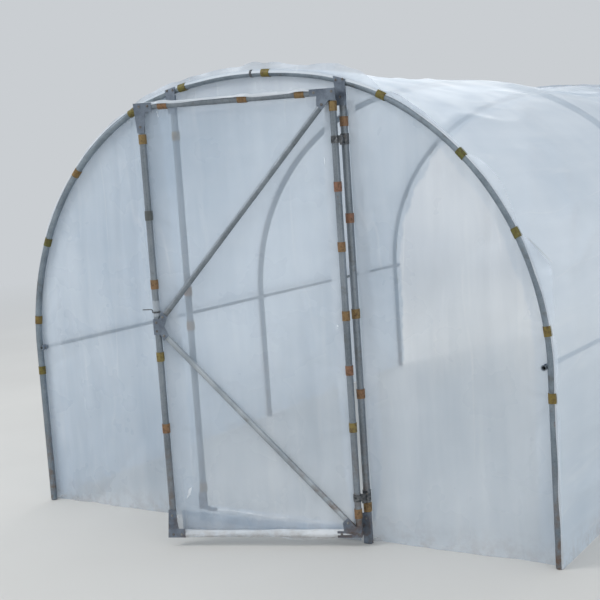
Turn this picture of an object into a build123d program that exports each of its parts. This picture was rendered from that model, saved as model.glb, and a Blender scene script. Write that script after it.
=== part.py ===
from build123d import *
from math import acos, asin, atan2, cos, degrees, hypot, radians, sin, sqrt
import os

# Polytunnel greenhouse: three bent tube hoops, a film cover, a closed door end with a framed door that
# stands ajar, and an open rear end.
# Millimetres, +Z up, +Y from the door end to the rear end, floor at Z = 0.

# Hoops: straight leg, knee arc, flatter crown arc. The knee radius follows from these.
half_span = 1510
leg_height = 885
crown_radius = 2135
crown_half_sweep = 11.16
front_bay = 2215
rear_bay = 2065
hoop_diameter = 33.7

# Other tubes
post_diameter = 33.7
rail_diameter = 21.3
leaf_diameter = 31.8
brace_diameter = 26.9
tube_wall = 2
end_bore = 60

# Film and the gap that each piece leaves to its seat
film = 2.0
seat = 0.3
knee_strips = 3

# Doorway, seen from outside
left_post_x = -418
right_post_x = 565
sill_height = 60

# Door leaf, by the centre lines of its tubes
free_stile_inset = 43
leaf_bottom = 60
leaf_head_gap = 32
joint_height = 1087
brace_spread = 8
ajar_angle = 21
transom_lap = 25

# Hinges: a pin in front of the right post, an eye on the leaf
pin_radius = 5
pin_clearance = 0.3
pin_offset_x = 8
pin_offset_y = 45
hinge_arm = 30
eye_radius = 9
eye_height = 34
pintle_height = 50
pintle_lug = 8
pin_tip = 2
hinge_rise = 58
hinge_drop = 241

# Pressed fittings
plate = 3
sleeve_wall = 3
head_drop = 95
head_flare = 12
head_crest_gap = 4
foot_height = 150
foot_reach = 90
foot_flare = 12
corner_drop = 124
corner_arm = 60
corner_lip = 12
gusset_arm = 103
gusset_notch = 70
gusset_drop = 38
gusset_tail = 92
joint_plate_drop = 38
joint_plate_tail = 66
tail_margin = 4
clamp_length = 34

# Spring clips that grip the film to the tubes. Each clear stretch of a tube has its own shares.
clip_length = 45
clip_wall = 2.6
clip_lip = 1.9
clip_gap = 4
hoop_clip_sweep = 205
clip_crest_gap = 3
tube_clip_sweep = 245
head_clip_rise = 33
hoop_clip_shares = (
    (0.879,), (0.07, 0.324, 0.575, 0.862), (0.043, 0.587), (0.115, 0.401, 0.657, 0.924), (0.122,),
)
left_post_clip_shares = (0.473, 0.582)
right_post_clip_shares = (0.286, 0.519, 0.793)
free_stile_low_shares = (0.466, 0.873)
free_stile_high_shares = (0.153, 0.542, 0.967)
hinge_stile_shares = (0.196, 0.361, 0.517, 0.712, 0.88)
top_rail_shares = (0.068, 0.579, 0.936)

# Wire hook that keeps the door shut
hook_rise = 20
hook_collar = 8
hook_wire = 5
hook_arm = 40
hook_bend = 9

# Worked out from the sizes above
hoop_r = hoop_diameter / 2
post_r = post_diameter / 2
rail_r = rail_diameter / 2
leaf_r = leaf_diameter / 2
brace_r = brace_diameter / 2
length = front_bay + rear_bay
hoop_places = (0, front_bay, length)

crown_sine = sin(radians(crown_half_sweep))
knee_radius = (half_span - crown_radius * crown_sine) / (1 - crown_sine)
knee_x = half_span - knee_radius
knee_sweep = 90 - crown_half_sweep
crown_z = leg_height - (crown_radius - knee_radius) * cos(radians(crown_half_sweep))
knee_run = knee_radius * radians(knee_sweep)
crown_run = 2 * crown_radius * radians(crown_half_sweep)
hoop_run = 2 * (leg_height + knee_run) + crown_run


def upright(y):
    """Sketch plane across the tunnel at depth y: local X to the right, local Y up."""
    return Plane(origin=(0, y, 0), x_dir=(1, 0, 0), z_dir=(0, -1, 0))


def slab(face, y0, y1):
    """Prism of an upright face, from depth y0 to depth y1."""
    return extrude(upright(y0) * face, amount=y1 - y0, dir=(0, 1, 0))


def tube(start, end, radius):
    """Round bar between two points."""
    start, end = Vector(*start), Vector(*end)
    run = end - start
    return extrude(Plane(origin=start, z_dir=run) * Circle(radius), amount=run.length)


def together(pieces):
    """One node from pieces that don't touch."""
    return pieces[0].fuse(*pieces[1:])


def crown_height(x, offset=0):
    """Height of the hoop's centre line at x, or of a line offset from it."""
    x = abs(x)
    radius = crown_radius + offset
    z = crown_z + sqrt(radius * radius - x * x)
    if x > radius * cos(radians(knee_sweep)):
        z = leg_height + sqrt((knee_radius + offset) ** 2 - (x - knee_x) ** 2)
    return z


def hoop_path():
    """Centre line of a hoop in its own plane, from the left foot to the right foot."""
    lines = [
        Line((-half_span, 0), (-half_span, leg_height)),
        CenterArc((-knee_x, leg_height), knee_radius, 180, -knee_sweep),
        CenterArc((0, crown_z), crown_radius, 180 - knee_sweep, 2 * knee_sweep - 180),
        CenterArc((knee_x, leg_height), knee_radius, knee_sweep, -knee_sweep),
        Line((half_span, leg_height), (half_span, 0)),
    ]
    return Wire(lines)


def hoop(y):
    section = Plane(origin=(-half_span, y, 0), z_dir=(0, 0, 1)) * Circle(hoop_r)
    return sweep(section, path=upright(y) * hoop_path())


def hoop_frame(run):
    """Place at a distance along the hoop from its left foot: x, z and the outward angle in degrees."""
    mirrored = run > hoop_run / 2
    run = hoop_run - run if mirrored else run
    if run <= leg_height:
        x, z, angle = -half_span, run, 180
    elif run <= leg_height + knee_run:
        angle = 180 - degrees((run - leg_height) / knee_radius)
        x = -knee_x + knee_radius * cos(radians(angle))
        z = leg_height + knee_radius * sin(radians(angle))
    else:
        rest = degrees((run - leg_height - knee_run) / crown_radius)
        angle = 180 - knee_sweep - rest
        x = crown_radius * cos(radians(angle))
        z = crown_z + crown_radius * sin(radians(angle))
    if mirrored:
        x, angle = -x, 180 - angle
    return x, z, angle


def run_at(x):
    """Distance along the hoop from its left foot to where it passes over x."""
    if abs(x) <= crown_radius * crown_sine:
        return hoop_run / 2 + crown_radius * asin(x / crown_radius)
    run = leg_height + knee_radius * acos((abs(x) - knee_x) / knee_radius)
    return run if x < 0 else hoop_run - run


def between(low, high, shares):
    """Places at shares of a clear stretch."""
    return [low + share * (high - low) for share in shares]


# Heights and widths that the door and its fittings take from the hoop and the posts
pin_x = right_post_x + pin_offset_x
hinge_stile_x = pin_x - hinge_arm
free_stile_x = left_post_x + free_stile_inset
leaf_width = hinge_stile_x - free_stile_x
leaf_top = crown_height(right_post_x, -hoop_r) - leaf_head_gap
transom_film_bottom = leaf_top - transom_lap
hinge_heights = (foot_height + hinge_rise, leaf_top - hinge_drop)
brace_slope = (leaf_top - joint_height - brace_spread) / leaf_width
brace_crest = joint_height + brace_spread + brace_slope * (leaf_r + seat + clip_wall)
hook_height = brace_crest + brace_r * hypot(1, brace_slope) + hook_rise
sleeve_reach = post_r + seat + sleeve_wall
head_half = post_r + sleeve_wall + head_flare
clip_half = clip_length / 2

# How far the part reaches in front and behind, so that it stands centred
clip_reach = leaf_r + seat + clip_wall + clip_lip
leaf_reach = pin_offset_y + (hinge_arm + leaf_width) * sin(radians(ajar_angle)) + clip_reach
rear_reach = length + hoop_r + seat + clip_wall
front_y = (leaf_reach - rear_reach) / 2


def arc_strip(centre, radius, start, sweep_angle):
    """Face of one film strip between two radii."""
    outer = radius + film
    end = start + sweep_angle
    a = CenterArc(centre, radius, start, sweep_angle)
    b = CenterArc(centre, outer, end, -sweep_angle)
    return make_face(Wire([a, Line(a @ 1, b @ 0), b, Line(b @ 1, a @ 0)]))


def cover_faces():
    """Named faces of the cover's strips, left wall to right wall."""
    inner = hoop_r + seat
    step = knee_sweep / knee_strips
    faces = {}
    for side, sign in (("left", -1), ("right", 1)):
        wall_x = sign * (half_span + inner + film / 2)
        faces[f"cover_wall_{side}"] = Pos(wall_x, leg_height / 2) * Rectangle(film, leg_height)
        for number in range(knee_strips):
            start = 180 - number * step if sign < 0 else number * step
            strip = arc_strip((sign * knee_x, leg_height), knee_radius + inner, start, sign * step)
            faces[f"cover_shoulder_{side}_{number + 1}"] = strip
    crown = arc_strip((0, crown_z), crown_radius + inner, 180 - knee_sweep, 2 * knee_sweep - 180)
    faces["cover_crown"] = crown
    return faces


def end_outline():
    """Face inside the hoops' centre line, from floor to crown."""
    path = hoop_path()
    return make_face(Wire([*path.edges(), Line((half_span, 0), (-half_span, 0))]))


def rail_centre_x(sign):
    return sign * (half_span - hoop_r - seat - rail_r)


def front_film(low_x, high_x, bottom=0):
    """Part of the front film between two upright lines, slit where a side rail passes."""
    height = crown_height(0) + hoop_r - bottom
    window = Pos((low_x + high_x) / 2, bottom + height / 2) * Rectangle(high_x - low_x, height)
    face = end_outline() & window
    for sign in (-1, 1):
        x = rail_centre_x(sign)
        slit = rail_r + seat
        if low_x < x < high_x:
            edge = sign * half_span
            face -= Pos(x, leg_height) * Circle(slit)
            face -= Pos((x + edge) / 2, leg_height) * Rectangle(abs(edge - x), 2 * slit)
    y = hoop_r + seat
    return slab(face, y, y + film)


def open_ring(radius, wall, sweep_angle):
    """C-shaped section round a tube, its back towards local -Y."""
    inner = radius + seat
    outer = inner + wall
    start = 270 - sweep_angle / 2
    a = CenterArc((0, 0), inner, start, sweep_angle)
    b = CenterArc((0, 0), outer, start + sweep_angle, -sweep_angle)
    return make_face(Wire([a, Line(a @ 1, b @ 0), b, Line(b @ 1, a @ 0)]))


def clip_section(radius, sweep_angle, lips):
    """Section of a spring clip: an open ring with a rolled lip at each end in lips, -1 or 1."""
    section = open_ring(radius, clip_wall, sweep_angle)
    for end in lips:
        lip = Rot(0, 0, end * sweep_angle / 2) * Pos(0, -(radius + seat + clip_lip)) * Circle(clip_lip)
        section += lip
    return section


def hoop_clips(y, outward):
    """Clips of one end hoop. outward is -1 at the door end and 1 at the rear end."""
    lean = 90 - hoop_clip_sweep / 2 - clip_crest_gap
    section = clip_section(hoop_r, hoop_clip_sweep, (-1,))
    bends = [0, leg_height, run_at(left_post_x), run_at(right_post_x), hoop_run - leg_height, hoop_run]
    clips = []
    for low, high, shares in zip(bends, bends[1:], hoop_clip_shares):
        for run in between(low + head_half, high - head_half, shares):
            x, z, angle = hoop_frame(run)
            normal = Vector(cos(radians(angle)), 0, sin(radians(angle)))
            along = normal.cross(Vector(0, -outward, 0))
            place = Plane(origin=(x, y, z), x_dir=normal, z_dir=along)
            clips.append(extrude(place * Rot(0, 0, lean) * section, amount=clip_half, both=True))
    return together(clips)


def upright_clips(x, y, radius, heights):
    """Clips on a vertical tube, open towards the rear."""
    section = clip_section(radius, tube_clip_sweep, (-1, 1))
    return [extrude(Pos(x, y, z) * section, amount=clip_half, both=True) for z in heights]


def post_clips():
    """Clips of the two door posts: one above each shoe, one below each head, the rest between the hinges."""
    low_hinge, high_hinge = hinge_heights
    ends = [foot_height + clip_gap + clip_half, high_hinge + pintle_height + head_clip_rise + clip_half]
    clips = []
    for x, shares in ((left_post_x, left_post_clip_shares), (right_post_x, right_post_clip_shares)):
        heights = between(low_hinge + pintle_height, high_hinge, shares)
        clips += upright_clips(x, 0, post_r, heights + ends)
    return clips


def level_clips(y, z, places):
    """Clips on a level tube across the tunnel, open towards the rear."""
    section = Rot(0, 0, 180) * clip_section(leaf_r, tube_clip_sweep, (-1, 1))
    clips = []
    for x in places:
        place = Plane(origin=(x, y, z), x_dir=(0, 0, 1), z_dir=(1, 0, 0))
        clips.append(extrude(place * section, amount=clip_half, both=True))
    return clips


def open_tube(start, end, radius):
    """Tube whose two ends show open: bored for a short way at each end."""
    start, end = Vector(*start), Vector(*end)
    inward = (end - start).normalized() * end_bore
    body = tube(start, end, radius)
    for low, high in ((start, start + inward), (end - inward, end)):
        body -= tube(low, high, radius - tube_wall)
    return body


def side_rail(sign):
    x = rail_centre_x(sign)
    return open_tube((x, -hoop_r, leg_height), (x, length + hoop_r, leg_height), rail_r)


def rail_clamps(sign):
    """Bent straps that hold a side rail to the inside of each hoop."""
    x = rail_centre_x(sign)
    straps = []
    for y in hoop_places:
        ring = Circle(rail_r + seat + sleeve_wall) - Circle(rail_r + seat)
        half = ring & (Pos(-sign * rail_r, 0) * Rectangle(2 * rail_r, 4 * rail_r))
        low = y - clamp_length / 2
        straps.append(Pos(x, 0, leg_height) * slab(half, low, low + clamp_length))
    return straps


def post(x):
    """Door post, from the floor to just below the hoop."""
    top = crown_height(abs(x) + post_r, -hoop_r) - seat
    return tube((x, 0, 0), (x, 0, top), post_r)


def open_sleeve(x, low, high):
    """Pressed sleeve round a post, open on the side where the film lies."""
    ring = Circle(sleeve_reach) - Circle(post_r + seat)
    keep = Pos(0, -sleeve_reach / 2) * Rectangle(2 * sleeve_reach, sleeve_reach)
    return extrude(Pos(x, 0, low) * (ring & keep), amount=high - low)


def post_head(x):
    """Flared saddle that joins a post to the hoop: a sleeve with a cheek across the hoop."""
    low = crown_height(x, -hoop_r) - head_drop
    sides = (x + head_half, x, x - head_half)
    crest = [(side, crown_height(side, hoop_r) - head_crest_gap) for side in sides]
    outline = Polyline((x - sleeve_reach, low), (x + sleeve_reach, low), *crest, close=True)
    front = -(max(post_r, hoop_r) + seat)
    cheek = slab(make_face(outline), front, front - plate)
    neck = crown_height(abs(x) + head_half, -hoop_r) - seat
    return cheek + open_sleeve(x, low, neck)


def post_foot(x, towards):
    """Pressed shoe at a door post's foot, with a toe along the sill."""
    half = towards * sleeve_reach
    toe = x + towards * foot_reach
    top, bottom = sill_height + sleeve_reach, sill_height - sleeve_reach
    outline = Polyline(
        (x - half, 0), (x - half, foot_height), (x + half, foot_height),
        (x + half + towards * foot_flare, top), (toe, top), (toe, bottom), (x + half, bottom),
        (x + half, 0), close=True,
    )
    front = -(post_r + seat)
    cheek = slab(make_face(outline), front, front - plate)
    sill = tube((x, 0, sill_height), (toe, 0, sill_height), post_r + seat)
    return cheek + (open_sleeve(x, 0, foot_height) - sill)


def leaf_plate(points):
    """Flat pressed plate on the outer face of the leaf."""
    front = -pin_offset_y - leaf_r - seat
    return slab(make_face(Polyline(*points, close=True)), front, front - plate)


def brace_tail(x, z, side, rise, reach):
    """Two points across a brace that leaves x, z with that run and climb, at a reach along it."""
    size = hypot(side, rise)
    along, half = Vector(side / size, rise / size), brace_r + tail_margin
    across = Vector(-along.Y, along.X) * half
    end = Vector(x, z) + along * reach
    return [(end.X + across.X, end.Y + across.Y), (end.X - across.X, end.Y - across.Y)]


def leaf_corner(x, z, side, up):
    """Corner plate of the leaf, wider at the corner: side and up point to the inside of the leaf."""
    half = leaf_r
    lip = half + corner_lip
    return leaf_plate([
        (x - side * lip, z - up * half), (x + side * corner_arm, z - up * half),
        (x + side * corner_arm, z + up * lip), (x + side * lip, z + up * lip),
        (x + side * half, z + up * corner_drop), (x - side * half, z + up * corner_drop),
    ])


def leaf_gusset(x, z, side, up, rise):
    """Fan-shaped gusset where a brace of that rise across the leaf meets a corner on the hinge side."""
    half = leaf_r
    tail = brace_tail(x, z, side * leaf_width, rise, gusset_tail)
    tail.sort(key=lambda point: abs(point[1] - z))
    return leaf_plate([
        (x - side * half, z - up * half), (x + side * gusset_arm, z - up * half),
        (x + side * gusset_arm, z + up * half), (x + side * gusset_notch, z + up * half), *tail,
        (x + side * half, z + up * gusset_drop), (x - side * half, z + up * gusset_drop),
    ])


def leaf_joint(x, upper_rise, lower_rise):
    """Plate where the two braces meet the free stile, with a tail along each."""
    half = leaf_r
    upper = brace_tail(x, joint_height + brace_spread, leaf_width, upper_rise, joint_plate_tail)
    lower = brace_tail(x, joint_height - brace_spread, leaf_width, lower_rise, joint_plate_tail)
    low, high = joint_height - joint_plate_drop, joint_height + joint_plate_drop
    notch = (x + joint_plate_drop, joint_height)
    return leaf_plate([
        (x - half, low), (x + half, low), lower[1], lower[0], notch, upper[1], upper[0],
        (x + half, high), (x - half, high),
    ])


def stile_clips(y):
    """Clips of the leaf: two stiles and the top rail."""
    corner_low, corner_high = leaf_bottom + corner_drop, leaf_top - corner_drop
    joint_low, hook_top = joint_height - joint_plate_drop, hook_height + hook_collar / 2
    heights = between(corner_low, joint_low, free_stile_low_shares)
    heights += between(hook_top, corner_high, free_stile_high_shares)
    clips = upright_clips(free_stile_x, y, leaf_r, heights)
    eye_low, eye_high = (z + pintle_lug + pin_clearance for z in hinge_heights)
    heights = between(eye_low + eye_height, eye_high, hinge_stile_shares)
    heights.append((leaf_bottom + gusset_drop + eye_low) / 2)
    heights.append(leaf_top - gusset_drop - clip_gap - clip_half)
    clips += upright_clips(hinge_stile_x, y, leaf_r, heights)
    places = between(free_stile_x + corner_arm, hinge_stile_x - gusset_arm, top_rail_shares)
    return together(clips + level_clips(y, leaf_top, places))


def leaf_parts():
    """The leaf's pieces in the closed position, by node name."""
    y = -pin_offset_y
    left, right = free_stile_x, hinge_stile_x
    low, high = leaf_bottom, leaf_top
    over = leaf_r
    gap = leaf_r + seat

    def brace(start_z, end_z):
        bar = tube((left, y, start_z), (right, y, end_z), brace_r)
        for x in (left, right):
            bar -= tube((x, y, low - over), (x, y, high + over), gap)
        bar -= tube((left, y, end_z), (right, y, end_z), gap)
        return max(bar.solids(), key=lambda solid: solid.volume)

    upper_start, lower_start = joint_height + brace_spread, joint_height - brace_spread
    corners = [leaf_corner(left, high, 1, -1), leaf_corner(left, low, 1, 1)]
    gussets = [
        leaf_gusset(right, high, -1, -1, upper_start - high),
        leaf_gusset(right, low, -1, 1, lower_start - low),
    ]
    back = y + leaf_r + seat
    film_face = Pos((left + right) / 2, (low + high) / 2) * Rectangle(right - left, high - low)
    return {
        "leaf_free_stile": open_tube((left, y, low - over), (left, y, high + over), leaf_r),
        "leaf_hinge_stile": open_tube((right, y, low - over), (right, y, high + over), leaf_r),
        "leaf_top_rail": tube((left + gap, y, high), (right - gap, y, high), leaf_r),
        "leaf_bottom_rail": tube((left + gap, y, low), (right - gap, y, low), leaf_r),
        "leaf_upper_brace": brace(upper_start, high),
        "leaf_lower_brace": brace(lower_start, low),
        "leaf_corners": together(corners),
        "leaf_gussets": together(gussets),
        "leaf_joint_plate": leaf_joint(left, high - upper_start, low - lower_start),
        "leaf_film": slab(film_face, back, back + film),
        "leaf_clips": stile_clips(y),
        "leaf_hook": hook(left),
    }


def hook(x):
    """Wire hook on a collar round the free stile: it rises beside the tube and bends over to the left."""
    y = -pin_offset_y
    section = Pos(x, y, hook_height) * open_ring(leaf_r, clip_wall, tube_clip_sweep)
    collar = extrude(section, amount=hook_collar / 2, both=True)
    root = x - leaf_r - seat - clip_wall - hook_wire / 4
    low, high = hook_height - hook_collar / 2, hook_height + hook_collar / 2
    rise = Line((root, low), (root, high))
    bend = CenterArc((root - hook_bend, high), hook_bend, 0, 90)
    arm = Line(bend @ 1, bend @ 1 - Vector(hook_arm, 0))
    section = Plane(origin=(root, y, low), z_dir=(0, 0, 1)) * Circle(hook_wire / 2)
    return collar + sweep(section, path=upright(y) * Wire([rise, bend, arm]))


def hinge_clamp(x, y, radius):
    """Plan of a clamp ring round a tube, cut flat at the back where the film passes."""
    outer = radius + seat + sleeve_wall
    ring = Circle(outer) - Circle(radius + seat)
    front = Pos(0, (radius - outer) / 2) * Rectangle(2 * outer, radius + outer)
    return Pos(x, y) * (ring & front)


def hinge_arm_plan(x, y, radius):
    """Plan of a web from a tube's surface to the hinge pin, with a round end."""
    reach = Vector(pin_x - x, -pin_offset_y - y)
    turn = degrees(atan2(reach.Y, reach.X))
    web = Pos(reach.length / 2, 0) * Rectangle(reach.length, 1.6 * eye_radius)
    web += Pos(reach.length, 0) * Circle(eye_radius)
    web -= Circle(radius + seat)
    return Pos(x, y) * Rot(0, 0, turn) * web


def hinge_pintle(z):
    """Hinge half on the post: a clamp ring with a lug that carries the upright pin."""
    clamp = extrude(Pos(0, 0, z) * hinge_clamp(right_post_x, 0, post_r), amount=pintle_height)
    lug = extrude(Pos(0, 0, z) * hinge_arm_plan(right_post_x, 0, post_r), amount=pintle_lug)
    pin_height = pintle_lug + eye_height + pin_tip
    pin = extrude(Pos(pin_x, -pin_offset_y, z) * Circle(pin_radius), amount=pin_height)
    return clamp + lug + pin


def hinge_eye(z):
    """Hinge half on the leaf, which turns on the pin."""
    plan = hinge_clamp(hinge_stile_x, -pin_offset_y, leaf_r)
    plan += hinge_arm_plan(hinge_stile_x, -pin_offset_y, leaf_r)
    plan -= Pos(pin_x, -pin_offset_y) * Circle(pin_radius + pin_clearance)
    return extrude(Pos(0, 0, z + pintle_lug + pin_clearance) * plan, amount=eye_height)


def tunnel_parts():
    """Everything that stands still, by node name."""
    parts = {}
    for name, y in zip(("front_hoop", "middle_hoop", "rear_hoop"), hoop_places):
        parts[name] = hoop(y)
    for side, sign in (("left", -1), ("right", 1)):
        parts[f"side_rail_{side}"] = side_rail(sign)
    parts["rail_clamps"] = together(rail_clamps(-1) + rail_clamps(1))
    post_places = (("left", left_post_x), ("right", right_post_x))
    for side, x in post_places:
        parts[f"door_post_{side}"] = post(x)
    parts["door_post_heads"] = together([post_head(x) for _, x in post_places])
    parts["door_post_feet"] = together([post_foot(left_post_x, 1), post_foot(right_post_x, -1)])
    parts["door_post_clips"] = together(post_clips())
    gap = post_r + seat
    sill_start, sill_end = (left_post_x + gap, 0, sill_height), (right_post_x - gap, 0, sill_height)
    parts["door_sill"] = tube(sill_start, sill_end, post_r)
    for name, face in cover_faces().items():
        parts[name] = slab(face, 0, length)
    parts["front_film_left"] = front_film(-half_span, left_post_x)
    parts["front_film_right"] = front_film(right_post_x, half_span)
    parts["front_film_over_door"] = front_film(left_post_x, right_post_x, transom_film_bottom)
    parts["hoop_clips_front"] = hoop_clips(0, -1)
    parts["hoop_clips_rear"] = hoop_clips(length, 1)
    parts["hinge_pintles"] = together([hinge_pintle(z) for z in hinge_heights])
    return parts


def door_parts():
    """The door leaf, turned to where it stands ajar."""
    parts = leaf_parts()
    parts["hinge_eyes"] = together([hinge_eye(z) for z in hinge_heights])
    turn = Pos(pin_x, -pin_offset_y, 0) * Rot(0, 0, ajar_angle) * Pos(-pin_x, pin_offset_y, 0)
    return {name: turn * shape for name, shape in parts.items()}


os.makedirs("parts", exist_ok=True)
for name, shape in {**tunnel_parts(), **door_parts()}.items():
    export_step(Pos(0, front_y, 0) * shape, f"parts/{name}.step")
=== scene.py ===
from math import cos, pi, radians, sin, tan, tau

import bpy
import numpy as np
from mathutils import Matrix, Vector


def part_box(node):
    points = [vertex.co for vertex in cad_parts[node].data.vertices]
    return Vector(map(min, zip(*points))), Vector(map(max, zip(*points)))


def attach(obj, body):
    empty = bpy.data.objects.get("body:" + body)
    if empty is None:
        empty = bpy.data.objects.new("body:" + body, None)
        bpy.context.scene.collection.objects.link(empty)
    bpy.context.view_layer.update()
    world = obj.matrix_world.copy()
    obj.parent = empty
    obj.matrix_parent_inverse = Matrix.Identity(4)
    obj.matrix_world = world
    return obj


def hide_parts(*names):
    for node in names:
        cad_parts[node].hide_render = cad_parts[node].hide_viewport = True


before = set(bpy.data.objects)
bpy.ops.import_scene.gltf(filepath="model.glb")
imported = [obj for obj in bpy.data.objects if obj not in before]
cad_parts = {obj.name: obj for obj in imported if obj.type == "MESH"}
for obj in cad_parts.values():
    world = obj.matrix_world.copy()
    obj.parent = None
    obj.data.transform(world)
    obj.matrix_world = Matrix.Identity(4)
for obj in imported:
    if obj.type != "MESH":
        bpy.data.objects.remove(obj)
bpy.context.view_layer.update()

# Looks of a polytunnel greenhouse: film over tube hoops, a framed film door, spring clips.
# Metres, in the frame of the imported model: +Z up, -Y is the door end.

MILLI = 0.001


def centre(node):
    low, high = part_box(node)
    return (low + high) / 2


def half_width(node):
    low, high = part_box(node)
    return (high.x - low.x) / 2


# Hoops and cover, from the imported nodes. The crown arc's radius and sweep are the model's own.
HOOP_NAMES = ("front_hoop", "middle_hoop", "rear_hoop")
HOOP_Y = [centre(name).y for name in HOOP_NAMES]
FRONT_Y, MIDDLE_Y, REAR_Y = HOOP_Y
HOOP_LOW, HOOP_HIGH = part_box("front_hoop")
HOOP_R = (HOOP_HIGH.y - HOOP_LOW.y) / 2
HALF_SPAN = HOOP_HIGH.x - HOOP_R
LEG = centre("side_rail_left").z
CROWN_R = 2.135
CROWN_HALF = radians(11.16)
KNEE_R = (HALF_SPAN - CROWN_R * sin(CROWN_HALF)) / (1 - sin(CROWN_HALF))
KNEE_X = HALF_SPAN - KNEE_R
KNEE_SWEEP = pi / 2 - CROWN_HALF
CROWN_Z = LEG - (CROWN_R - KNEE_R) * cos(CROWN_HALF)
KNEE_RUN = KNEE_R * KNEE_SWEEP
CROWN_RUN = 2 * CROWN_R * CROWN_HALF
HOOP_RUN = 2 * (LEG + KNEE_RUN) + CROWN_RUN

# Posts, sill and leaf
LEFT_POST = centre("door_post_left")
RIGHT_POST = centre("door_post_right")
SILL = centre("door_sill")
FREE_STILE = centre("leaf_free_stile")
HINGE_STILE = centre("leaf_hinge_stile")
TOP_RAIL = centre("leaf_top_rail")
BOTTOM_RAIL = centre("leaf_bottom_rail")
POST_R = half_width("door_post_left")
LEAF_R = half_width("leaf_free_stile")
JOINT_Z = centre("leaf_joint_plate").z
LEAF_ALONG = Vector((FREE_STILE.x - HINGE_STILE.x, FREE_STILE.y - HINGE_STILE.y, 0))
LEAF_WIDTH = LEAF_ALONG.length
LEAF_ALONG.normalize()
LEAF_OUT = Vector((LEAF_ALONG.y, -LEAF_ALONG.x, 0))
if LEAF_OUT.y > 0:
    LEAF_OUT = -LEAF_OUT

# How far film lies off its tubes: the cover outside the hoops, the upright films behind theirs
FILM_LIFT = 0.2 * MILLI
FILM_BACK = 0.5 * MILLI


# Noise and folds

NOISE_CELLS = 64
FAN_FOLDS, FAN_FINE_FOLDS = 7, 12
FAN_CORE = 0.07


def smooth_noise(a, b, seed):
    """Random height from -1 to 1 at points a, b, with swells about one unit across."""
    table = np.random.default_rng(seed).uniform(-1, 1, (NOISE_CELLS, NOISE_CELLS))
    a, b = np.broadcast_arrays(np.asarray(a, float), np.asarray(b, float))
    i, j = np.floor(a).astype(int), np.floor(b).astype(int)
    u, v = a - i, b - j
    u, v = u * u * (3 - 2 * u), v * v * (3 - 2 * v)
    i, j = i % NOISE_CELLS, j % NOISE_CELLS
    k, m = (i + 1) % NOISE_CELLS, (j + 1) % NOISE_CELLS
    low = table[i, j] * (1 - u) + table[k, j] * u
    high = table[i, m] * (1 - u) + table[k, m] * u
    return low * (1 - v) + high * v


def folds(a, b, seed):
    """Folds with narrow rounded crests, 0 to 1, where a smooth noise passes through zero."""
    return (1.2 - np.sqrt(smooth_noise(a, b, seed) ** 2 + 0.04)) ** 4


def pucker(a, b, anchors, reach, seed):
    """Fans of small folds that run out from each clip and fade."""
    total = np.zeros(np.broadcast(a, b).shape)
    turns = np.random.default_rng(seed).uniform(0, tau, len(anchors))
    for (clip_a, clip_b), turn in zip(anchors, turns):
        da, db = a - clip_a, b - clip_b
        distance = np.hypot(da, db)
        angle = np.arctan2(db, da)
        fan = np.sin(FAN_FOLDS * angle + turn) + 0.5 * np.sin(FAN_FINE_FOLDS * angle + 2 * turn)
        total += fan * np.exp(-distance / reach) * distance ** 2 / (distance ** 2 + FAN_CORE ** 2)
    return total


# Mesh helpers

def add_object(name, data):
    thing = bpy.data.objects.new(name, data)
    bpy.context.scene.collection.objects.link(thing)
    return thing


def mesh_piece(name, points, faces, material, body, smooth=True):
    """Visible piece from points and faces, which rides on a body."""
    mesh = bpy.data.meshes.new(name)
    mesh.from_pydata([tuple(p) for p in points], [], [tuple(f) for f in faces])
    mesh.polygons.foreach_set("use_smooth", [smooth] * len(mesh.polygons))
    mesh.materials.append(material)
    mesh.update()
    piece = add_object(name, mesh)
    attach(piece, body)
    return piece


def grid_piece(name, grid, material, body):
    """Open sheet from a grid of points, rows by columns by 3."""
    rows, columns = grid.shape[:2]
    number = np.arange(rows * columns).reshape(rows, columns)
    corners = (number[:-1, :-1], number[:-1, 1:], number[1:, 1:], number[1:, :-1])
    faces = np.stack(corners, -1).reshape(-1, 4)
    return mesh_piece(name, grid.reshape(-1, 3).tolist(), faces.tolist(), material, body)


def second_finish(piece, material, columns):
    """Another finish on those columns of a sheet's faces that are marked."""
    piece.data.materials.append(material)
    rows = len(piece.data.polygons) // len(columns)
    marked = np.tile(columns, rows).astype(np.int32)
    piece.data.polygons.foreach_set("material_index", marked)


def ring_faces(start, rings, corners):
    """Faces between rings of points that follow one another in a list."""
    faces = []
    for ring in range(rings - 1):
        for number in range(corners):
            low = start + ring * corners
            after = (number + 1) % corners
            faces.append((low + number, low + after, low + corners + after, low + corners + number))
    return faces


# Places on the leaf and along the hoops

ARCH_SAMPLES = 4001


def leaf_point(along, out, z):
    """Point on the leaf: distance from the hinge stile, distance towards outside, height."""
    along, out, z = np.broadcast_arrays(along, out, z)
    x = HINGE_STILE.x + LEAF_ALONG.x * along + LEAF_OUT.x * out
    y = HINGE_STILE.y + LEAF_ALONG.y * along + LEAF_OUT.y * out
    return np.stack([x, y, z], -1)


def hoop_place(run):
    """Centre line of a hoop at distances from its left foot: x, z and the outward direction."""
    run = np.asarray(run, float)
    mirrored = run > HOOP_RUN / 2
    side = np.where(mirrored, HOOP_RUN - run, run)
    knee = np.clip((side - LEG) / KNEE_R, 0, KNEE_SWEEP)
    crown = np.clip((side - LEG - KNEE_RUN) / CROWN_R, 0, None)
    angle = pi - knee - crown
    leg_z = np.minimum(side, LEG)
    knee_x = -KNEE_X + KNEE_R * np.cos(pi - knee)
    knee_z = leg_z + KNEE_R * np.sin(knee)
    x = np.where(crown > 0, CROWN_R * np.cos(angle), knee_x)
    z = np.where(crown > 0, CROWN_Z + CROWN_R * np.sin(angle), knee_z)
    out_x, out_z = np.cos(angle), np.sin(angle)
    sign = np.where(mirrored, -1, 1)
    return x * sign, z, out_x * sign, out_z


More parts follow.
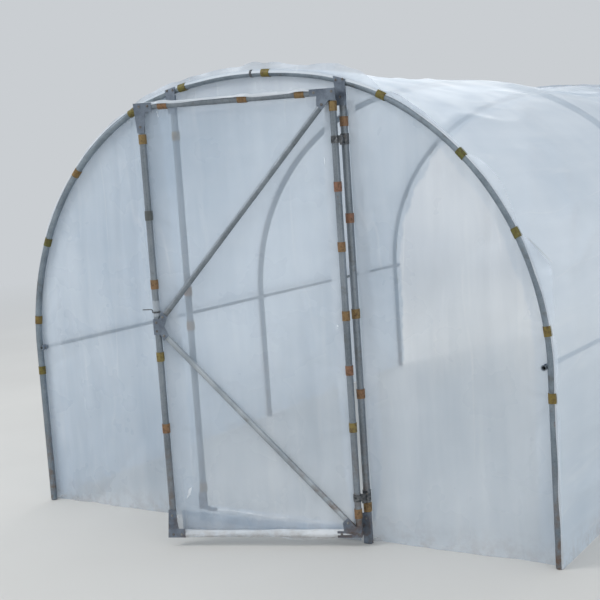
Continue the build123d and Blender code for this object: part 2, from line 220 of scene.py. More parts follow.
def run_at(x):
    """Distance along the hoop from its left foot to where it passes over x."""
    runs = np.linspace(LEG, HOOP_RUN - LEG, ARCH_SAMPLES)
    return float(np.interp(x, hoop_place(runs)[0], runs))


def hoop_distance(x, z):
    """Distance from a point inside the arch to the hoops' centre line."""
    knee = KNEE_R - np.hypot(np.abs(x) - KNEE_X, z - LEG)
    crown = CROWN_R - np.hypot(x, z - CROWN_Z)
    arch = np.where(np.abs(x) < KNEE_X + (z - LEG) * tan(CROWN_HALF), crown, knee)
    return np.where(z < LEG, HALF_SPAN - np.abs(x), arch)


# Materials

# How noise is drawn out: evenly, upwards, along the tunnel, level, and as streaks of a tube
EVEN = (1, 1, 1)
DRAWN_UP = (1, 1, 0.12)
DRAWN_BACK = (1, 0.12, 1)
DRAWN_ACROSS = (0.2, 0.2, 1.6)
TUBE_STREAKS = (1, 1, 0.3)


class Nodes:
    """Short way to write a material's nodes."""

    def __init__(self, name):
        self.material = bpy.data.materials.new(name)
        self.material.use_nodes = True
        self.tree = self.material.node_tree
        self.shader = self.tree.nodes["Principled BSDF"]
        self.place = self.add("ShaderNodeTexCoord").outputs["Object"]

    def add(self, kind, inputs=(), **values):
        """New node: inputs holds pairs of a socket and its plain value."""
        node = self.tree.nodes.new(kind)
        for key, value in values.items():
            setattr(node, key, value)
        for key, value in inputs:
            node.inputs[key].default_value = value
        return node

    def join(self, source, target):
        self.tree.links.new(source, target)

    def scaled(self, scale):
        """Object coordinates stretched by a scale along each axis."""
        mapping = self.add("ShaderNodeMapping", [("Scale", scale)])
        self.join(self.place, mapping.inputs["Vector"])
        return mapping.outputs["Vector"]

    def noise(self, scale, detail=4.0, roughness=0.55, stretch=EVEN):
        plain = [("Scale", scale), ("Detail", detail), ("Roughness", roughness)]
        node = self.add("ShaderNodeTexNoise", plain)
        self.join(self.scaled(stretch), node.inputs["Vector"])
        return node.outputs["Fac"]

    def cells(self, scale):
        node = self.add("ShaderNodeTexVoronoi", [("Scale", scale)])
        self.join(self.place, node.inputs["Vector"])
        return node.outputs["Color"], node.outputs["Distance"]

    def height(self):
        """Height above the floor."""
        node = self.add("ShaderNodeSeparateXYZ")
        self.join(self.place, node.inputs["Vector"])
        return node.outputs["Z"]

    def spread(self, source, low, high, to_low, to_high):
        """Source from low to high becomes to_low to to_high, clamped at both."""
        limits = [("From Min", low), ("From Max", high), ("To Min", to_low), ("To Max", to_high)]
        node = self.add("ShaderNodeMapRange", limits)
        self.join(source, node.inputs["Value"])
        return node.outputs["Result"]

    def maths(self, operation, first, second):
        node = self.add("ShaderNodeMath", operation=operation)
        for socket, value in zip(node.inputs, (first, second)):
            if isinstance(value, (int, float)):
                socket.default_value = value
            else:
                self.join(value, socket)
        return node.outputs["Value"]

    def mix(self, factor, first, second):
        """Colour between two, each of them a socket or a plain colour."""
        node = self.add("ShaderNodeMix", data_type="RGBA")
        self.join(factor, node.inputs[0])
        colour_sockets = [socket for socket in node.inputs if socket.type == "RGBA"]
        for socket, value in zip(colour_sockets, (first, second)):
            if isinstance(value, bpy.types.NodeSocket):
                self.join(value, socket)
            else:
                socket.default_value = (*value, 1)
        return next(socket for socket in node.outputs if socket.type == "RGBA")

    def ramp(self, source, stops):
        node = self.add("ShaderNodeValToRGB")
        elements = node.color_ramp.elements
        for number, (position, colour) in enumerate(stops):
            element = elements[number] if number < 2 else elements.new(position)
            element.position = position
            element.color = (*colour, 1)
        self.join(source, node.inputs["Fac"])
        return node.outputs["Color"]

    def bump(self, source, strength, distance):
        node = self.add("ShaderNodeBump", [("Strength", strength), ("Distance", distance)])
        self.join(source, node.inputs["Height"])
        self.join(node.outputs["Normal"], self.shader.inputs["Normal"])

    def finish(self, colour, roughness, **plain):
        """The material, with other plain values of its shader by name."""
        self.join(colour, self.shader.inputs["Base Color"])
        self.join(roughness, self.shader.inputs["Roughness"])
        for key, value in plain.items():
            self.shader.inputs[key.replace("_", " ").title()].default_value = value
        return self.material


def srgb(red, green, blue):
    """Linear colour from an 8-bit one."""
    return tuple(
        (c / 255 / 12.92) if c / 255 <= 0.04045 else ((c / 255 + 0.055) / 1.055) ** 2.4
        for c in (red, green, blue)
    )


# Patches and spots in the finishes, and painted light: glints, light streaks and crease highlights
# Bright colour on the zinc spangle cells: the spangle is real, its brightness a painted glint
SPANGLE_GLINT = srgb(190, 196, 200)
TUBE_STAIN = srgb(98, 90, 80)
TUBE_RUST = srgb(118, 74, 46)
TUBE_DIRT = srgb(108, 82, 62)
FITTING_SCUFF = srgb(164, 170, 176)
FITTING_RUST = srgb(104, 70, 48)
FITTING_DIRT = srgb(92, 70, 54)
CLIP_RUST = srgb(74, 50, 32)
CLIP_WORN = srgb(160, 146, 108)
CLIP_DULL_GREY = srgb(82, 86, 84)
# Bright patches painted on hinges and bolts as glints
STEEL_GLINT = srgb(168, 170, 170)
# Painted light: bright streaks of light coming through the film
FILM_PAINTED_STREAK = srgb(240, 244, 248)
# Painted highlight along the film's crease lines
FILM_CREASE_HIGHLIGHT = srgb(244, 247, 250)
FILM_DIRT = srgb(150, 130, 112)
GRIME_FADE = 0.004


def dirty_foot(nodes, colour, dirt, top, most=0.9):
    """Dirt in spots on the lowest stretch of a surface."""
    edge = nodes.spread(nodes.height(), 0.0, top, 1.0, 0.0)
    spots = nodes.noise(18, 6, 0.65)
    share = nodes.maths("MULTIPLY", edge, nodes.spread(spots, 0.42, 0.62, 0.0, most))
    return nodes.mix(share, colour, dirt)


def galvanised(name, dark, pale, stretch=EVEN):
    """Zinc on steel tube: spangle cells with a painted glint, drawn streaks, dull and rusty patches, and dirt
    low down.
    """
    nodes = Nodes(name)
    spangle_glint_cells, edges = nodes.cells(160)
    grey = nodes.ramp(nodes.noise(9, 6, 0.6, stretch), ((0.3, dark), (0.7, pale)))
    # Spangle cells brightened at random: real spangle, with a painted glint
    spangle_glinted = nodes.mix(nodes.spread(spangle_glint_cells, 0, 1, 0.0, 0.16), grey, SPANGLE_GLINT)
    stain = nodes.spread(nodes.noise(11, 8, 0.7), 0.56, 0.72, 0.0, 0.6)
    stained = nodes.mix(stain, spangle_glinted, TUBE_STAIN)
    rust = nodes.spread(nodes.noise(7, 9, 0.75), 0.64, 0.7, 0.0, 0.7)
    rusted = nodes.mix(rust, stained, TUBE_RUST)
    colour = dirty_foot(nodes, rusted, TUBE_DIRT, 0.6)
    roughness = nodes.spread(nodes.noise(35, 5), 0.3, 0.7, 0.38, 0.58)
    ridges = nodes.maths("ADD", nodes.noise(60, 6, 0.6, stretch), edges)
    nodes.bump(ridges, 0.3, 0.0006)
    return nodes.finish(colour, roughness, metallic=0.65)


def pressed_steel(name):
    """Blue-grey zinc on the pressed fittings, scuffed, with rust at its edges and pits."""
    nodes = Nodes(name)
    tones = ((0.32, srgb(84, 93, 106)), (0.68, srgb(128, 138, 150)))
    cloud = nodes.ramp(nodes.noise(16, 7, 0.65), tones)
    scuff = nodes.spread(nodes.noise(70, 8, 0.75, (1, 1, 3)), 0.6, 0.72, 0.0, 0.7)
    scuffed = nodes.mix(scuff, cloud, FITTING_SCUFF)
    rust = nodes.spread(nodes.noise(24, 9, 0.75), 0.62, 0.7, 0.0, 0.6)
    rusted = nodes.mix(rust, scuffed, FITTING_RUST)
    colour = dirty_foot(nodes, rusted, FITTING_DIRT, 0.45)
    nodes.bump(nodes.noise(120, 6, 0.6), 0.35, 0.0005)
    roughness = nodes.spread(nodes.noise(40, 4), 0.3, 0.7, 0.36, 0.6)
    return nodes.finish(colour, roughness, metallic=0.4)


def clip_finish(name, stops, dull_band=None):
    """Lacquered spring steel that rusts: each clip takes its own tone from where it sits.

    The last argument gives the lowest and highest point of a stretch where the clips are dull grey."""
    nodes = Nodes(name)
    base = nodes.ramp(nodes.noise(2.3, 1, 0.4), stops)
    rust = nodes.spread(nodes.noise(75, 7, 0.7), 0.48, 0.64, 0.0, 0.85)
    colour = nodes.mix(rust, base, CLIP_RUST)
    pale = nodes.spread(nodes.noise(120, 4, 0.6), 0.62, 0.7, 0.0, 0.5)
    colour = nodes.mix(pale, colour, CLIP_WORN)
    # Clips between these heights are dull grey
    if dull_band:
        low, high = dull_band
        above = nodes.spread(nodes.height(), low, low + GRIME_FADE, 0.0, 1.0)
        below = nodes.spread(nodes.height(), high, high + GRIME_FADE, 1.0, 0.0)
        colour = nodes.mix(nodes.maths("MULTIPLY", above, below), colour, CLIP_DULL_GREY)
    nodes.bump(nodes.noise(160, 5, 0.6), 0.5, 0.0012)
    roughness = nodes.spread(nodes.noise(60, 4), 0.3, 0.7, 0.4, 0.7)
    return nodes.finish(colour, roughness, metallic=0.1)


def dark_steel(name, dark, pale):
    """Weathered steel of hinges and bolts, with bright streaky patches that are painted glints."""
    nodes = Nodes(name)
    cloud = nodes.ramp(nodes.noise(60, 6, 0.65), ((0.38, dark), (0.66, pale)))
    # Bright streaky patches: painted glints on the dark steel
    painted_glint = nodes.spread(nodes.noise(90, 6, 0.7, (1, 1, 0.4)), 0.6, 0.68, 0.0, 0.8)
    colour = nodes.mix(painted_glint, cloud, STEEL_GLINT)
    nodes.bump(nodes.noise(150, 5), 0.4, 0.0006)
    roughness = nodes.spread(nodes.noise(50, 4), 0.3, 0.7, 0.34, 0.6)
    return nodes.finish(colour, roughness, metallic=0.45)


def film_finish(name, alpha, dull, bright, stretch=DRAWN_UP, dirt=0.35, gloss=(0.2, 0.42), crease=0.3):
    """Milky film: clouds, painted light streaks, fine crease lines drawn one way with a painted highlight,
    faint dirt low down, soft creases as bump.
    """
    nodes = Nodes(name)
    cloud = nodes.noise(1.1, 3, 0.5)
    # The drawn-out share of the tone is painted light: streaks where light comes through the film
    painted_streaks = nodes.noise(8, 3, 0.5, stretch)
    cloud, painted_streaks = nodes.maths("MULTIPLY", cloud, 0.72), nodes.maths("MULTIPLY", painted_streaks, 0.28)
    tone = nodes.ramp(nodes.maths("ADD", cloud, painted_streaks), ((0.36, dull), (0.62, bright)))
    # Painted light: brighter streaks drawn one way, where light comes through the film
    painted_bright_streaks = nodes.spread(nodes.noise(12, 2, 0.5, stretch), 0.6, 0.78, 0.0, 0.25)
    with_painted_streaks = nodes.mix(painted_bright_streaks, tone, FILM_PAINTED_STREAK)
    # Crease lines where a drawn-out noise crosses its middle: they shape the bump, and a painted highlight
    # brightens them
    drawn = nodes.maths("SUBTRACT", nodes.noise(4, 2, 0.4, stretch), 0.5)
    line = nodes.spread(nodes.maths("ABSOLUTE", drawn, 0.0), 0.0, 0.016, 1.0, 0.0)
    line = nodes.maths("MULTIPLY", line, nodes.spread(nodes.noise(2.5, 2), 0.46, 0.6, 0.0, 1.0))
    with_crease_highlight = nodes.mix(nodes.maths("MULTIPLY", line, 0.2), with_painted_streaks, FILM_CREASE_HIGHLIGHT)
    colour = dirty_foot(nodes, with_crease_highlight, FILM_DIRT, 0.14, dirt)
    creases = nodes.maths("ADD", nodes.noise(5, 3, 0.5, stretch), nodes.maths("MULTIPLY", line, 0.5))
    nodes.bump(creases, crease, 0.006)
    roughness = nodes.spread(nodes.noise(4, 3), 0.3, 0.7, *gloss)
    return nodes.finish(colour, roughness, alpha=alpha)


# Finishes of the steel: dark and pale tone, or tones by place
tube_finish = galvanised("galvanised_tube", srgb(100, 109, 116), srgb(142, 150, 158), TUBE_STREAKS)
hoop_finish = galvanised("galvanised_hoop", srgb(100, 112, 122), srgb(140, 152, 162))
# The lower brace's paler tones are a painted sheen: they paint the bright reflection along it
brace_painted_sheen_finish = galvanised("galvanised_brace_painted_sheen", srgb(138, 147, 154), srgb(186, 192, 197), TUBE_STREAKS)
fitting_finish = pressed_steel("pressed_fittings")
hoop_clip_finish = clip_finish(
    "hoop_clips", ((0.3, srgb(92, 92, 38)), (0.5, srgb(114, 102, 42)), (0.7, srgb(124, 98, 52))))
post_clip_finish = clip_finish(
    "post_clips", ((0.3, srgb(128, 114, 62)), (0.5, srgb(132, 102, 70)), (0.7, srgb(132, 92, 76))),
    dull_band=(1.59, 1.65))
hinge_finish = dark_steel("hinge_steel", srgb(48, 52, 56), srgb(118, 120, 122))
bolt_finish = dark_steel("bolt_steel", srgb(92, 88, 86), srgb(146, 146, 144))

# Finishes of the film: how much it covers, dull and bright tone
cover_film = film_finish(
    "cover_film", 0.74, srgb(194, 209, 224), srgb(218, 229, 240), DRAWN_BACK, gloss=(0.3, 0.5), crease=0.22)
end_film = film_finish("end_film", 0.44, srgb(168, 185, 202), srgb(212, 222, 233), crease=0.45)
doubled_film = film_finish("doubled_film", 0.44, srgb(200, 211, 222), srgb(230, 236, 242))
margin_film = film_finish("margin_film", 0.84, srgb(220, 227, 234), srgb(242, 245, 248))
crest_film = film_finish(
    "crest_film", 0.8, srgb(198, 208, 218), srgb(230, 235, 240), EVEN, gloss=(0.35, 0.55), crease=0.2)
ruffle_film = film_finish(
    "ruffle_film", 0.55, srgb(176, 190, 206), srgb(222, 230, 238), EVEN, gloss=(0.3, 0.5), crease=0.2)
# The foot film's dark blue-grey is a painted reflection, darker than the other films
foot_film = film_finish(
    "foot_film", 0.76, srgb(112, 130, 150), srgb(206, 216, 226), DRAWN_ACROSS, gloss=(0.12, 0.3), crease=0.4)
# The wrapped film's white is partly its layers and partly a painted highlight
wrap_film = film_finish(
    "wrapped_film", 0.86, srgb(192, 200, 208), srgb(236, 238, 240), EVEN, dirt=0.5, gloss=(0.12, 0.3),
    crease=0.15)
head_film = film_finish("head_film", 0.5, srgb(206, 214, 224), srgb(236, 240, 244))


def finish_nodes():
    """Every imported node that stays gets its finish, from the last of these words in its name."""
    finishes = {
        "hoop": hoop_finish, "rail_clamps": fitting_finish, "heads": fitting_finish,
        "feet": fitting_finish, "corners": fitting_finish, "gussets": fitting_finish,
        "joint_plate": fitting_finish, "pintles": hinge_finish, "eyes": hinge_finish,
        "hook": hinge_finish, "lower_brace": brace_painted_sheen_finish, "clips": post_clip_finish,
        "hoop_clips": hoop_clip_finish,
    }
    for name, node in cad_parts.items():
        material = tube_finish
        for word, finish in finishes.items():
            if word in name:
                material = finish
        if not node.data.materials:
            node.data.materials.append(material)
        for slot in node.material_slots:
            slot.material = material


# Loose film

# Clips of an end hoop, as distances along it from its left foot
CLIP_RUNS = (0.754, 1.043, 1.501, 1.954, 2.471, 2.823, 3.329, 3.966, 4.438, 4.861, 5.302, 5.592)
RIBBON_STEP = 0.01
RIBBON_CELLS = 8
RIBBON_OFF = 2.5


def ribbon(name, place, stops, material, body, seed, rough=0.12, bulge=3.0):
    """Loose margin of film along a line: stops give distance and width in mm.

    place(along, across, off) gives the point, off being measured from the surface that it lies on.
    rough is how uneven its width is, bulge how far in mm its free edge waves."""
    along = np.arange(stops[0][0], stops[-1][0], RIBBON_STEP)[:, None]
    width = np.interp(along, *zip(*stops)) * MILLI
    width = width * (1 + rough * smooth_noise(along / 0.16, 0, seed))
    width = width * (1 + 0.6 * rough * smooth_noise(along / 0.035, 0, seed + 1))
    share = np.linspace(0, 1, RIBBON_CELLS + 1)[None, :]
    wave = smooth_noise(along / 0.13, share * 1.5, seed + 2)
    wave = wave + 0.4 * smooth_noise(along / 0.03, share * 3, seed + 3)
    across = width * share
    off = (RIBBON_OFF + bulge * wave * share) * MILLI
    piece = grid_piece(name, place(along + 0 * across, across, off), material, body)
    return piece


# Cover

# How deep it sags between two hoops, at the wall, the knee and the crown of each bay
SAG_WALL = 5 * MILLI
SAG_KNEE = 16 * MILLI
SAG_FRONT_CROWN = 28 * MILLI
SAG_REAR_CROWN = 52 * MILLI

COVER_STEP = 0.02
COVER_SEED = 11

# How far it turns round an end hoop: everywhere, more over the door, and unevenly
RIM_TURN = radians(46)
RIM_TURN_OVER_DOOR = radians(44)
RIM_TURN_UNEVEN = radians(9)
OVER_DOOR = 0.75
RIM_CELLS = 7
RIM_FLARE = 1.2 * MILLI


def cover_lift(run, y):
    """How far the cover lies from the hoops' centre line."""
    front = (y - FRONT_Y) / (MIDDLE_Y - FRONT_Y)
    rear = (y - MIDDLE_Y) / (REAR_Y - MIDDLE_Y)
    share = np.clip(np.where(y < MIDDLE_Y, front, rear), 0, 1)
    bow = 4 * share * (1 - share)
    nearer = np.minimum(run, HOOP_RUN - run)
    high = np.clip((nearer - LEG * 0.7) / 0.6, 0, 1)
    top = np.clip((nearer - LEG - 1.0) / 0.8, 0, 1)
    sag_crown = np.where(y < MIDDLE_Y, SAG_FRONT_CROWN, SAG_REAR_CROWN)
    sag = SAG_WALL + (SAG_KNEE - SAG_WALL) * high + (sag_crown - SAG_KNEE) * top
    slack = smooth_noise(run / 0.5, y / 0.9, COVER_SEED) * 10
    wander = 0.6 * smooth_noise(run, y / 0.5, COVER_SEED + 1)
    long_folds = folds(run / 0.19 + wander, y / 1.6, COVER_SEED + 2) * 12
    cross_folds = folds((run + 0.7 * y) / 0.34, (y - 0.7 * run) / 1.2, COVER_SEED + 3) * 10
    crumple = smooth_noise(run / 0.09, y / 0.16, COVER_SEED + 4) * 1.2
    fans = pucker(run, y, [(clip, FRONT_Y) for clip in CLIP_RUNS], 0.15, COVER_SEED + 5)
    fans = fans + pucker(run, y, [(clip, REAR_Y) for clip in CLIP_RUNS], 0.12, COVER_SEED + 6)
    soft = slack * bow + bow ** 0.5 * (long_folds + cross_folds + crumple) + 3.5 * fans * bow ** 0.3
    return HOOP_R + FILM_LIFT + soft * MILLI - bow * sag


def rim_reach(runs, seed):
    """How far the cover turns round an end hoop's outer side: furthest over the door."""
    over_door = np.exp(-(((runs - HOOP_RUN / 2) / OVER_DOOR) ** 4))
    return RIM_TURN + RIM_TURN_OVER_DOOR * over_door + RIM_TURN_UNEVEN * smooth_noise(runs / 0.14, 0, seed)


def make_cover():
    """One continuous film over the three hoops, wrapped round the end hoops' outer side."""
    runs = np.linspace(0, HOOP_RUN, int(HOOP_RUN / COVER_STEP))
    depths = np.linspace(FRONT_Y, REAR_Y, int((REAR_Y - FRONT_Y) / COVER_STEP))
    run, y = np.meshgrid(runs, depths, indexing="ij")
    lift = cover_lift(run, y)
    turns = np.linspace(1, 0, RIM_CELLS + 1)[:-1]
    rims = []
    for seed, outward in ((21, -1), (22, 1)):
        turn = rim_reach(runs, seed)[:, None] * turns[None, :]
        radius = HOOP_R + FILM_LIFT + RIM_FLARE * turns[None, :] ** 2
        rims.append((outward * radius * np.sin(turn), radius * np.cos(turn)))
    front_y, front_lift = FRONT_Y + rims[0][0], rims[0][1]
    rear_y, rear_lift = REAR_Y + rims[1][0][:, ::-1], rims[1][1][:, ::-1]
    y = np.concatenate([front_y, y, rear_y], 1)
    lift = np.concatenate([front_lift, lift, rear_lift], 1)
    x, z, out_x, out_z = (part[:, None] for part in hoop_place(runs))
    grid = np.stack([x + out_x * lift, y, np.maximum(z + out_z * lift, 0)], -1)
    piece = grid_piece("cover_film", grid, cover_film, "tunnel")
    columns = np.arange(grid.shape[1] - 1)
    second_finish(piece, crest_film, np.minimum(columns, columns[::-1]) < RIM_CELLS)
    strips = [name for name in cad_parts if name.startswith("cover_")]
    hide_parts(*strips)


# Surplus film that stands up outside the end hoops: distance along the hoop and height in mm
FRONT_RUFFLE = (
    (1.30, 2), (1.6, 8), (1.9, 5), (2.2, 10), (2.4, 9), (2.6, 22), (2.8, 27), (3.0, 24), (3.18, 26),
    (3.27, 42), (3.36, 48), (3.46, 30), (3.56, 28), (3.64, 50), (3.72, 72), (3.80, 62), (3.88, 36),
    (4.0, 30), (4.1, 26), (4.25, 16), (4.42, 12), (4.52, 34), (4.62, 62), (4.70, 50), (4.80, 24),
    (4.90, 26), (4.98, 58), (5.07, 70), (5.2, 46), (5.4, 26), (5.6, 14), (5.9, 8), (6.2, 3),
)
REAR_RUFFLE = (
    (1.3, 2), (1.8, 10), (2.3, 24), (2.5, 14), (3.0, 24), (3.3, 16), (3.9, 26), (4.4, 14), (5.0, 3),
)
RUFFLE_STEP = 0.007
RUFFLE_POINTS = 14
RUFFLE_LEAST = 1.5 * MILLI

# A clip presses it down over this distance, by a share that is less near the crown
PINCH_REACH = 0.045
PINCH, PINCH_NEAR_CROWN = 0.75, 0.3
NEAR_CROWN = (2.6, 3.7)


def make_ruffle(name, hoop_y, outward, stops, seed):
    """Surplus margin of the cover: it stands up at the hoop's outer side in soft folds, less at each clip."""
    runs = np.arange(stops[0][0], stops[-1][0], RUFFLE_STEP)
    height = np.interp(runs, *zip(*stops)) * MILLI
    for clip in CLIP_RUNS:
        pinch = PINCH_NEAR_CROWN if NEAR_CROWN[0] < clip < NEAR_CROWN[1] else PINCH
        height = height * (1 - pinch * np.exp(-(((runs - clip) / PINCH_REACH) ** 2)))
    height = height * (1 + 0.12 * smooth_noise(runs / 0.06, 0, seed)) + RUFFLE_LEAST
    share = np.linspace(0, 1, RUFFLE_POINTS)[None, :]
    wave = smooth_noise(runs / 0.09, 0, seed + 1) + 0.25 * smooth_noise(runs / 0.035, 3, seed + 2)
    lean = (0.4 * height * wave)[:, None] * share ** 1.3
    crimp = 1.2 * MILLI * smooth_noise(runs[:, None] / 0.04, share * 2, seed + 3) * share
    lift = HOOP_R * 0.9 + height[:, None] * share * (1 - 0.14 * share)
    x, z, out_x, out_z = (part[:, None] for part in hoop_place(runs))
    y = hoop_y + outward * HOOP_R * 0.5 + lean + crimp
    grid = np.stack([x + out_x * lift, y + 0 * x, z + out_z * lift], -1)
    piece = grid_piece(name, grid, ruffle_film, "tunnel")


# Ends of the tuck, each as distance along the hoop and depth
TUCK_START, TUCK_END = Vector((4.895, FRONT_Y + 0.026)), Vector((5.03, FRONT_Y + 0.195))


def make_tuck():
    """Sharp tuck in the cover that runs down and back from a clip of the front hoop."""
    line = TUCK_END - TUCK_START
    sideways = Vector((line.y, -line.x)).normalized()
    share = np.linspace(0, 1, 30)[:, None]
    across = np.linspace(-1, 1, 7)[None, :]
    reach = (7 - 4 * share) * MILLI
    run = TUCK_START.x + line.x * share + sideways.x * reach * across
    y = TUCK_START.y + line.y * share + sideways.y * reach * across
    rise = (7.5 * (1 - np.abs(across)) * np.sin(pi * np.sqrt(share)) + 0.4) * MILLI
    lift = cover_lift(run, y) + rise
    x, z, out_x, out_z = hoop_place(run)
    grid = np.stack([x + out_x * lift, y, z + out_z * lift], -1)
    piece = grid_piece("cover_tuck", grid, crest_film, "tunnel")


# Front film

FILM_INNER = HOOP_R + FILM_BACK
END_STEP = 0.016
HEAD_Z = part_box("front_film_over_door")[0].z
POST_CLIP_HEIGHTS = (0.18, 0.62, 1.05, 1.2, 1.55, 1.98)
FRONT_CLIPS = [(x, z) for x in (LEFT_POST.x, RIGHT_POST.x) for z in POST_CLIP_HEIGHTS]
FRONT_CLIPS += [(float(x), float(z)) for x, z, _, _ in (hoop_place(run) for run in CLIP_RUNS)]

# Within this distance of a tube the folds die away
HELD_REACH = 0.12


def end_lift(x, z, anchors, seed, drawn_high, cross_high):
    """Folds, in metres, of an upright film that is held along its edges.

    drawn_high and cross_high give the height in mm of the folds that run up and across."""
    slack = smooth_noise(x / 0.45, z / 0.9, seed) * 7
    wander = 0.35 * smooth_noise(x, z / 0.6, seed + 5)
    drawn = folds(x / 0.13 + wander, z / 1.7, seed + 1) * drawn_high
    cross = folds((x - z) / 0.35, (x + z) / 1.2, seed + 2) * cross_high
    fans = pucker(x, z, anchors, 0.16, seed + 3) * 3.5
    fine = smooth_noise(x / 0.08, z / 0.2, seed + 4) * 1.5
    return (slack + drawn + cross + fans + fine + 6) * MILLI


def front_skin(x, z):
    """Depth of the front film behind the hoop's centre line."""
    held = np.minimum(np.abs(x - LEFT_POST.x), np.abs(x - RIGHT_POST.x))
    held = np.clip(np.minimum(held, hoop_distance(x, z)) / HELD_REACH, 0, 1)
    lift = end_lift(x, z, FRONT_CLIPS, seed=31, drawn_high=8, cross_high=10)
    return FILM_INNER + lift * held ** 0.5


def front_place(x, z, off):
    """Point at a distance behind the front film."""
    return np.stack([x, FRONT_Y + front_skin(x, z) + off, z], -1)


def make_front_film(name, node, low_x, high_x, bottom, material):
    """Upright film from the floor, or from the door's head, up to the hoop."""
    low, high = run_at(low_x), run_at(high_x)
    x, top, _, _ = hoop_place(np.linspace(low, high, max(int((high - low) / END_STEP), 4)))
    share = np.linspace(0, 1, max(int((top.max() - bottom) / END_STEP), 12))[None, :]
    z = bottom + (top[:, None] - bottom) * share
    piece = grid_piece(name, front_place(x[:, None] + 0 * z, z, 0), material, "tunnel")
    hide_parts(node)


def hoop_margin(along, across, off):
    """Point on the front film at a distance inside the front hoop."""
    x, z, out_x, out_z = hoop_place(along)
    return front_place(x - out_x * across, z - out_z * across, off)


def rear_margin(along, across, off):
    """Point just inside the rear hoop."""
    x, z, out_x, out_z = hoop_place(along)
    inset = HOOP_R * 0.8 + across
    return np.stack([x - out_x * inset, REAR_Y - HOOP_R * 0.6 + off * 2, z - out_z * inset], -1)


def make_margins():
    """Doubled edges of the films beside the posts and inside the hoops."""
    ribbon("front_margin_right", lambda a, w, o: front_place(RIGHT_POST.x + POST_R * 0.7 + w, a, o),
           ((0.10, 10), (0.3, 52), (0.9, 66), (1.5, 58), (2.0, 40), (2.1, 24)), margin_film, "tunnel",
           seed=81)
    ribbon("front_margin_left", lambda a, w, o: front_place(LEFT_POST.x - POST_R * 0.7 - w, a, o),
           ((0.12, 12), (0.4, 34), (1.2, 40), (2.1, 22)), doubled_film, "tunnel", seed=83)
    ribbon("hoop_margin_left", hoop_margin,
           ((0.03, 150), (0.5, 152), (0.95, 118), (1.3, 96), (1.7, 84), (2.2, 62), (2.7, 40)), doubled_film,
           "tunnel", seed=91, rough=0.08)
    ribbon("hoop_margin_head", hoop_margin, ((2.8, 44), (3.2, 52), (3.7, 40)), doubled_film, "tunnel",
           seed=93, rough=0.2)
    ribbon("hoop_margin_right", hoop_margin,
           ((3.8, 34), (4.2, 62), (4.6, 80), (5.0, 88), (5.5, 84), (6.3, 96)), doubled_film, "tunnel",
           seed=95, rough=0.1)
    ribbon("hoop_margin_rear", rear_margin,
           ((0.04, 20), (0.6, 34), (1.2, 44), (1.8, 58), (2.4, 50), (3.2, 42), (3.9, 52), (4.6, 56),
            (5.2, 40), (6.3, 18)), crest_film, "tunnel", seed=97, rough=0.4, bulge=7.0)


# Leaf

TOP_RAIL_CLIPS = (0.151, 0.421, 0.807)
LEAF_CLIPS = [(0, height) for height in (0.16, 0.57, 0.84, 1.1, 1.42, 1.7, 2.07)]
LEAF_CLIPS += [(LEAF_WIDTH, height) for height in (0.59, 0.94, 1.29, 1.62, 1.98)]
LEAF_CLIPS += [(along, TOP_RAIL.z) for along in TOP_RAIL_CLIPS]
LEAF_HELD_REACH = 0.1


def leaf_skin(along, z):
    """How far the leaf's film lies from the leaf's centre plane: below zero, because it is behind it."""
    sides = np.minimum(along, LEAF_WIDTH - along)
    ends = np.minimum(z - BOTTOM_RAIL.z, TOP_RAIL.z - z)
    held = np.clip(np.minimum(sides, ends) / LEAF_HELD_REACH, 0, 1) ** 0.5
    lift = end_lift(along, z, LEAF_CLIPS, seed=53, drawn_high=6, cross_high=3)
    return -(LEAF_R + FILM_BACK) - 0.85 * lift * held


def leaf_place(along, z, off):
    """Point at a distance behind the leaf's film."""
    return leaf_point(along, leaf_skin(along, z) - off, z)


def make_leaf_film():
    """Film on the inner side of the leaf, drawn from clip to clip, with its doubled edges and its hem."""
    along = np.linspace(0, LEAF_WIDTH, 72)[:, None]
    z = np.linspace(BOTTOM_RAIL.z, TOP_RAIL.z, 150)[None, :]
    along, z = np.broadcast_arrays(along, z)
    piece = grid_piece("leaf_film_sheet", leaf_place(along, z, 0), end_film, "door")
    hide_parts("leaf_film")
    low, high = BOTTOM_RAIL.z, TOP_RAIL.z
    ribbon("leaf_margin_hinge", lambda a, w, o: leaf_place(LEAF_R * 0.7 + w, a, o),
           ((low, 14), (low + 0.3, 46), (1.2, 52), (high - 0.2, 44), (high, 30)), margin_film, "door",
           seed=87)
    ribbon("leaf_margin_free", lambda a, w, o: leaf_place(LEAF_WIDTH - LEAF_R * 0.7 - w, a, o),
           ((low + 0.13, 24), (low + 0.19, 78), (low + 0.26, 96), (1.2, 94), (high - 0.1, 78), (high, 60)),
           margin_film, "door", seed=89, rough=0.08)
    band = ribbon("leaf_foot_band", lambda a, w, o: leaf_place(a, low + w, o * 1.5),
                  ((0.03, 30), (0.3, 48), (0.6, 84), (LEAF_WIDTH - 0.03, 120)), foot_film, "door",
                  seed=73, rough=0.06, bulge=5.0)
    # The band's top row takes the white wrapped film: the fold along its top edge, brightened as a painted
    # highlight
    second_finish(band, wrap_film, np.arange(RIBBON_CELLS) == RIBBON_CELLS - 1)
    ribbon("leaf_hem", lambda a, w, o: leaf_point(a, -LEAF_R - o, low - LEAF_R * 0.6 - w),
           ((0.06, 12), (0.12, 26), (0.3, 24), (0.5, 12), (LEAF_WIDTH - 0.1, 10)), wrap_film, "door",
           seed=75, rough=0.3, bulge=4.0)


# Film round a tube: what is left free at each end, and how finely it is divided
WRAP_INSET = 0.02
WRAP_STEP = 0.007
WRAP_ARC_POINTS = 28
FLAP_CELLS = 7

# Height in mm and half length of the swelling over a clip
SWELL_HIGH = 4.6
SWELL_REACH = 0.03


